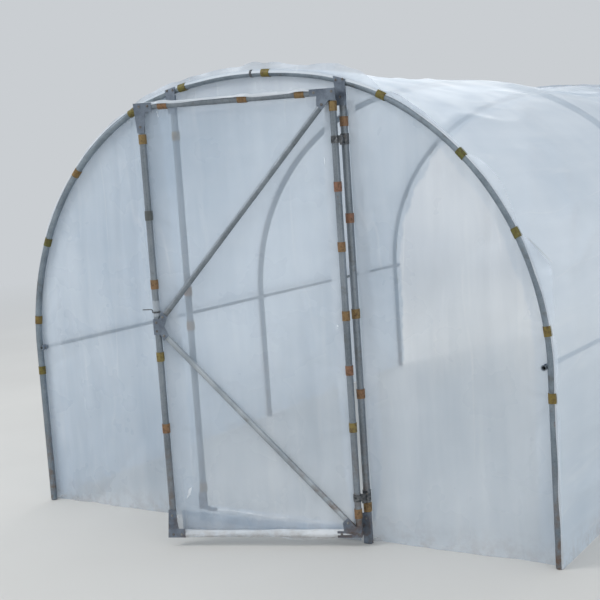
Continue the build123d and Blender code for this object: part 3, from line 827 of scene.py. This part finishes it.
def tube_wrap(name, place, length, radius, turn, flap, body, seed, lift, swells=(), flap_film=None):
    """Film round a level tube from its back over the top to the front, with a loose flap at the end.

    place(along, out, up) gives the point, out and up being measured from the tube's centre line.
    turn gives the first and last angle in degrees, lift the height in mm of its folds, and swells
    the places where it passes over a clip."""
    along = np.linspace(WRAP_INSET, length - WRAP_INSET, int(length / WRAP_STEP))[:, None]
    first, last = (radians(angle) for angle in turn)
    arc = np.linspace(first, last, WRAP_ARC_POINTS)
    tail = np.linspace(0, 1, FLAP_CELLS + 1)[1:]
    puff = np.abs(smooth_noise(along / 0.14, arc[None, :], seed)) * lift
    puff = puff + folds(along / 0.2 + arc[None, :] * 0.9, arc[None, :] / 2, seed + 1) * lift
    for swell in swells:
        puff = puff + SWELL_HIGH * np.exp(-(((along - swell) / SWELL_REACH) ** 4))
    reach = radius + (0.4 + puff) * MILLI
    out, up = reach * np.cos(arc), reach * np.sin(arc)
    way = 1 if last > first else -1
    way_out, way_up = -way * sin(last), way * cos(last)
    size = flap * (1 + min(0.4, 0.004 / flap) * smooth_noise(along / 0.12, 0, seed + 2))
    swing = 0.006 * smooth_noise(along / 0.12, tail[None, :], seed + 3) * tail[None, :]
    tail_out = out[:, -1:] + size * tail[None, :] * way_out + swing * way_up
    tail_up = up[:, -1:] + size * tail[None, :] * way_up - swing * way_out
    out, up = np.concatenate([out, tail_out], 1), np.concatenate([up, tail_up], 1)
    piece = grid_piece(name, place(along + 0 * out, out, up), wrap_film, body)
    if flap_film:
        second_finish(piece, flap_film, np.arange(out.shape[1] - 1) >= WRAP_ARC_POINTS - 1)


# The turn of film on the free stile: its height above the joint plate, its gap and its flat width
STILE_TURN_LOW, STILE_TURN_HIGH = 0.05, 0.125
STILE_TURN_GAP = 0.3


def make_wraps():
    """Film turned round the leaf's rails, round the sill, and once round the free stile."""
    tube_wrap("leaf_foot_wrap", lambda a, o, u: leaf_point(a, o, BOTTOM_RAIL.z + u), LEAF_WIDTH,
              LEAF_R, turn=(150, -100), flap=0.014, body="door", seed=61, lift=3)
    tube_wrap("leaf_head_wrap", lambda a, o, u: leaf_point(a, o, TOP_RAIL.z + u), LEAF_WIDTH,
              LEAF_R, turn=(185, 34), flap=0.006, body="door", seed=67, lift=2.2, swells=TOP_RAIL_CLIPS)
    left = LEFT_POST.x + POST_R
    width = RIGHT_POST.x - POST_R - left
    tube_wrap("sill_wrap", lambda a, o, u: np.stack([left + a, SILL.y - o, SILL.z + u], -1), width,
              POST_R, turn=(190, -10), flap=SILL.z - 0.012, body="tunnel", seed=71, lift=3,
              flap_film=foot_film)
    z = np.linspace(JOINT_Z + STILE_TURN_LOW, JOINT_Z + STILE_TURN_HIGH, 14)[None, :]
    angle = np.linspace(STILE_TURN_GAP, tau - STILE_TURN_GAP, 40)[:, None]
    radius = LEAF_R + (1.2 + 0.9 * smooth_noise(angle * 1.6, z / 0.02, 77)) * MILLI
    turn = leaf_point(LEAF_WIDTH + radius * np.sin(angle), -radius * np.cos(angle), z)
    piece = grid_piece("stile_turn", turn, doubled_film, "door")


# Small fasteners

PLATE_OUT = 3.3 * MILLI
BOLT_R = 6.5 * MILLI

# Corners, and rings of size and height as shares of the bolt's radius
WASHER = (14, ((1, -0.1), (1, 0.14)))
HEXAGON = (6, ((0.66, 0.14), (0.66, 0.55), (0.52, 0.66)))

# Bolts of the leaf: along the rail and the stile at the free corners, along the rail and the brace
# at the hinge corners, and along each brace at the joint plate
FREE_RAIL_BOLT, FREE_STILE_BOLT = 0.042, 0.095
HINGE_RAIL_BOLT, HINGE_BRACE_BOLT = 0.082, 0.074
JOINT_BRACE_BOLT = 0.05

# Bolts of the posts: to each side of the hoop and below it in the head, and the height in the shoe
HEAD_BOLT_SIDE, HEAD_BOLT_UP, HEAD_BOLT_DOWN = 0.018, 0.003, 0.075
SHOE_BOLT_Z = 0.125
SIDE_RAIL_R = 0.0135


def bolts(name, places, body):
    """Hexagon heads on washers: each place is a point on the surface, the way it faces and a radius."""
    points, faces = [], []
    for centre_point, facing, radius in places:
        facing = Vector(facing).normalized()
        side = facing.orthogonal().normalized()
        other = facing.cross(side)
        for corners, rings in (WASHER, HEXAGON):
            start = len(points)
            for size, height in rings:
                for number in range(corners):
                    turn = tau * number / corners
                    across = side * cos(turn) + other * sin(turn)
                    points.append(Vector(centre_point) + across * radius * size + facing * radius * height)
            faces += ring_faces(start, len(rings), corners)
            top = start + (len(rings) - 1) * corners
            faces.append(tuple(range(top, top + corners)))
    piece = mesh_piece(name, points, faces, bolt_finish, body, smooth=False)


def make_leaf_bolts():
    """Bolts through the corner plates, the gussets and the joint plate of the leaf."""
    leaf_face = LEAF_R + PLATE_OUT
    low, high = BOTTOM_RAIL.z, TOP_RAIL.z
    reach_up = Vector((LEAF_WIDTH, high - JOINT_Z)).normalized()
    reach_down = Vector((LEAF_WIDTH, JOINT_Z - low)).normalized()
    spots = []
    for z, up, along in ((high, -1, reach_up), (low, 1, reach_down)):
        spots += [(LEAF_WIDTH, z), (LEAF_WIDTH - FREE_RAIL_BOLT, z), (LEAF_WIDTH, z + up * FREE_STILE_BOLT)]
        spots += [(0.0, z), (HINGE_RAIL_BOLT, z)]
        spots += [(along.x * HINGE_BRACE_BOLT, z + up * along.y * HINGE_BRACE_BOLT)]
    spots += [(LEAF_WIDTH, JOINT_Z + 0.02), (LEAF_WIDTH, JOINT_Z - 0.022)]
    for along, up in ((reach_up, 1), (reach_down, -1)):
        a = LEAF_WIDTH - along.x * JOINT_BRACE_BOLT
        spots.append((a, JOINT_Z + up * 0.008 + up * along.y * JOINT_BRACE_BOLT))
    places = [(Vector(leaf_point(a, leaf_face, z)), LEAF_OUT, BOLT_R) for a, z in spots]
    bolts("leaf_bolts", places, "door")


def make_tunnel_bolts():
    """Bolts through the post heads, the shoes, the hinge straps and the rail clamps."""
    places = []
    for post in (LEFT_POST, RIGHT_POST):
        z = float(hoop_place(run_at(post.x))[1])
        spots = [(side * HEAD_BOLT_SIDE, z + HEAD_BOLT_UP) for side in (-1, 1)]
        spots += [(0, z - HEAD_BOLT_DOWN), (0, SHOE_BOLT_Z)]
        for aside, height in spots:
            places.append(((post.x + aside, FRONT_Y - POST_R - PLATE_OUT, height), (0, -1, 0), BOLT_R))
    low_hinge, high_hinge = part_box("hinge_pintles")
    for z in (low_hinge.z + 0.036, high_hinge.z - 0.014):
        strap = (RIGHT_POST.x + POST_R * 0.55, FRONT_Y - POST_R - 0.0005, z)
        places.append((strap, (0.4, -1, 0), BOLT_R * 0.9))
    for node in ("side_rail_left", "side_rail_right"):
        sign = -1 if "left" in node else 1
        for y in HOOP_Y:
            inner = centre(node).x - sign * (SIDE_RAIL_R + 0.0004)
            places.append(((inner, y, LEG), (-sign, 0, 0), BOLT_R * 0.8))
    bolts("tunnel_bolts", places, "tunnel")


# The joint near a hoop's crown: distance along the hoop, rings of place in metres and height in mm
HOOP_JOINT_RUN = 3.247
HOOP_JOINT_RINGS = ((-0.007, 0.4), (-0.006, 2.2), (0.006, 2.2), (0.007, 0.4))
HOOP_JOINT_CORNERS = 28


def make_hoop_joints():
    """Swaged joint near each hoop's crown, where its two halves meet, seen as a dark ring."""
    x, z, out_x, out_z = (float(part) for part in hoop_place(HOOP_JOINT_RUN))
    out, along = Vector((out_x, 0, out_z)), Vector((out_z, 0, -out_x))
    for name, y in zip(HOOP_NAMES, HOOP_Y):
        points = []
        for place, lift in HOOP_JOINT_RINGS:
            for number in range(HOOP_JOINT_CORNERS):
                turn = tau * number / HOOP_JOINT_CORNERS
                spoke = out * cos(turn) + Vector((0, 1, 0)) * sin(turn)
                points.append(Vector((x, y, z)) + along * place + spoke * (HOOP_R + lift * MILLI))
        faces = ring_faces(0, len(HOOP_JOINT_RINGS), HOOP_JOINT_CORNERS)
        piece = mesh_piece(f"joint_of_{name}", points, faces, hinge_finish, "tunnel")


# Camera, floor and light

FOCAL_PIXELS = 1163.67
PHOTO_PIXELS = 600
SENSOR = 36.0
CAMERA_YAW = -0.5766
CAMERA_PITCH = 0.1167
CAMERA_ROLL = 0.0674
CAMERA_FROM_HOOP = Vector((3.2882, -4.6556, 1.8176))
FLOOR_TONES = ((0.3, srgb(206, 204, 200)), (0.7, srgb(211, 209, 205)))
FLOOR_REACH = 60.0
FLOOR_Z = -2 * MILLI
BACKDROP_COLOUR = srgb(202, 206, 210)

# The floor turns into the backdrop between these distances from the middle
FADE_START, FADE_END = 4.0, 15.0
EVEN_LIGHT = (0.9, 0.95, 1.0, 1)
EVEN_LIGHT_STRENGTH = 0.85


def make_camera():
    """The camera of the photograph, as solved from it."""
    level = cos(CAMERA_PITCH)
    forward = Vector((sin(CAMERA_YAW) * level, cos(CAMERA_YAW) * level, -sin(CAMERA_PITCH)))
    right = Vector((cos(CAMERA_YAW), -sin(CAMERA_YAW), 0))
    up = right.cross(forward)
    turned_right = cos(CAMERA_ROLL) * right - sin(CAMERA_ROLL) * up
    turned_up = sin(CAMERA_ROLL) * right + cos(CAMERA_ROLL) * up
    data = bpy.data.cameras.new("camera")
    data.sensor_width = SENSOR
    data.lens = SENSOR * FOCAL_PIXELS / PHOTO_PIXELS
    camera = add_object("camera", data)
    turn = Matrix((turned_right, turned_up, -forward)).transposed()
    place = Vector((CAMERA_FROM_HOOP.x, FRONT_Y + CAMERA_FROM_HOOP.y, CAMERA_FROM_HOOP.z))
    camera.matrix_world = Matrix.Translation(place) @ turn.to_4x4()
    bpy.context.scene.camera = camera


def make_floor():
    """Pale studio floor that fades into the backdrop, for the camera only."""
    nodes = Nodes("pale_floor")
    colour = nodes.ramp(nodes.noise(0.6, 3), FLOOR_TONES)
    material = nodes.finish(colour, nodes.spread(nodes.noise(3, 3), 0, 1, 0.8, 0.9))
    nodes.shader.inputs["Specular IOR Level"].default_value = 0.1
    away = nodes.add("ShaderNodeVectorMath", operation="LENGTH")
    nodes.join(nodes.place, away.inputs[0])
    seen = nodes.add("ShaderNodeLightPath").outputs["Is Camera Ray"]
    far = nodes.add("ShaderNodeEmission", [("Color", (*BACKDROP_COLOUR, 1))])
    mix = nodes.add("ShaderNodeMixShader")
    fade = nodes.spread(away.outputs["Value"], FADE_START, FADE_END, 0.0, 1.0)
    nodes.join(nodes.maths("MULTIPLY", fade, seen), mix.inputs["Fac"])
    nodes.join(nodes.shader.outputs["BSDF"], mix.inputs[1])
    nodes.join(far.outputs["Emission"], mix.inputs[2])
    nodes.join(mix.outputs["Shader"], nodes.tree.nodes["Material Output"].inputs["Surface"])
    mesh = bpy.data.meshes.new("floor")
    corners = [(x * FLOOR_REACH, y * FLOOR_REACH, FLOOR_Z) for x, y in ((-1, -1), (1, -1), (1, 1), (-1, 1))]
    mesh.from_pydata(corners, [], [(0, 1, 2, 3)])
    mesh.materials.append(material)
    floor = add_object("floor", mesh)


def make_world():
    """Soft even light, with the pale backdrop for what the camera sees, also in gloss and through film."""
    world = bpy.data.worlds.new("studio")
    world.use_nodes = True
    bpy.context.scene.world = world
    tree = world.node_tree
    light = tree.nodes["Background"]
    light.inputs["Color"].default_value = EVEN_LIGHT
    light.inputs["Strength"].default_value = EVEN_LIGHT_STRENGTH
    backdrop = tree.nodes.new("ShaderNodeBackground")
    backdrop.inputs["Color"].default_value = (*BACKDROP_COLOUR, 1)
    path = tree.nodes.new("ShaderNodeLightPath")
    mix = tree.nodes.new("ShaderNodeMixShader")
    seen = path.outputs["Is Camera Ray"]
    for output in ("Is Glossy Ray", "Is Transmission Ray"):
        either = tree.nodes.new("ShaderNodeMath")
        either.operation = "MAXIMUM"
        tree.links.new(seen, either.inputs[0])
        tree.links.new(path.outputs[output], either.inputs[1])
        seen = either.outputs["Value"]
    tree.links.new(seen, mix.inputs["Fac"])
    tree.links.new(light.outputs["Background"], mix.inputs[1])
    tree.links.new(backdrop.outputs["Background"], mix.inputs[2])
    tree.links.new(mix.outputs["Shader"], tree.nodes["World Output"].inputs["Surface"])


# Name, place, target, diameter and power
LAMPS = (
    ("key", (-4.5, -6.5, 6.5), (0, 0, 1.0), 4.0, 255),
    ("fill", (6.5, -5.0, 3.5), (0, 0, 1.0), 5.0, 60),
    ("back", (-3.0, 7.0, 6.0), (0, 0, 1.0), 5.0, 110),
    ("inside", (0.0, 0.2, 0.3), (0, 0.2, 3.0), 2.0, 13),
)


def make_lamps():
    """Round lamps that the camera doesn't see, and a weak one inside that lights the film from below."""
    for name, place, target, size, power in LAMPS:
        data = bpy.data.lights.new(name, "AREA")
        data.shape = "DISK"
        data.size = size
        data.energy = power
        lamp = add_object(name, data)
        lamp.location = place
        lamp.visible_camera = False
        lamp.visible_glossy = name != "inside"
        aim = Vector(target) - Vector(place)
        lamp.rotation_mode = "QUATERNION"
        lamp.rotation_quaternion = aim.to_track_quat("-Z", "Y")


make_camera()
make_world()
make_lamps()
make_floor()
finish_nodes()
make_cover()
make_ruffle("front_ruffle", FRONT_Y, -1, FRONT_RUFFLE, seed=101)
make_ruffle("rear_ruffle", REAR_Y, 1, REAR_RUFFLE, seed=111)
make_tuck()
make_front_film("front_film_left_sheet", "front_film_left", -HALF_SPAN, LEFT_POST.x, 0.0, end_film)
make_front_film("front_film_right_sheet", "front_film_right", RIGHT_POST.x, HALF_SPAN, 0.0, end_film)
make_front_film("front_film_head_sheet", "front_film_over_door", LEFT_POST.x, RIGHT_POST.x, HEAD_Z,
                head_film)
make_margins()
make_leaf_film()
make_wraps()
make_leaf_bolts()
make_tunnel_bolts()
make_hoop_joints()

bpy.context.scene.view_settings.view_transform = "Standard"
